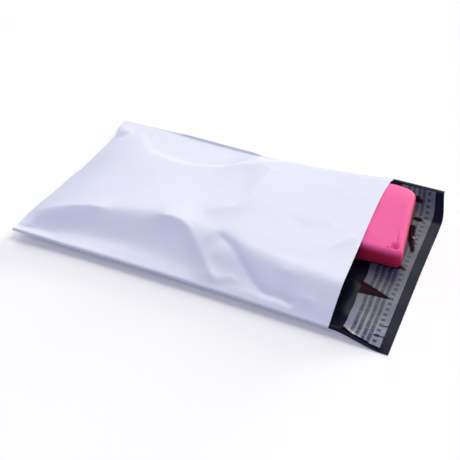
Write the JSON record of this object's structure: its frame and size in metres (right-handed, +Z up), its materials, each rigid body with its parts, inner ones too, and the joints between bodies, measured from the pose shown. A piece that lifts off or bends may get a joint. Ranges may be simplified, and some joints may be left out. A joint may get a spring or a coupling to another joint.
{
  "type": "poly mailer bag",
  "caption": "White poly mailer lying open on its back panel, side-welded from one folded film, with a folded garment in its mouth and a release liner on its sealing lip.",
  "frame": {"origin": "middle of the bag's footprint, on the surface it lies on", "axes": "+X from the bottom fold towards the sealing lip, +Y from the near weld to the far weld, +Z up from the back panel through the front panel"},
  "size_m": [0.4176, 0.2486, 0.028],
  "materials": {
    "mailer_film": "satin, white outside and black inside",
    "adhesive_strip": "glossy",
    "release_liner": "glossy, printed with darker bands",
    "folded_garment": "matte"
  },
  "bodies": {
    "root": {"mailer_film": "mailer_film", "adhesive_strip": "adhesive_strip", "release_liner": "release_liner", "folded_garment": "folded_garment"}
  },
  "joints": []
}
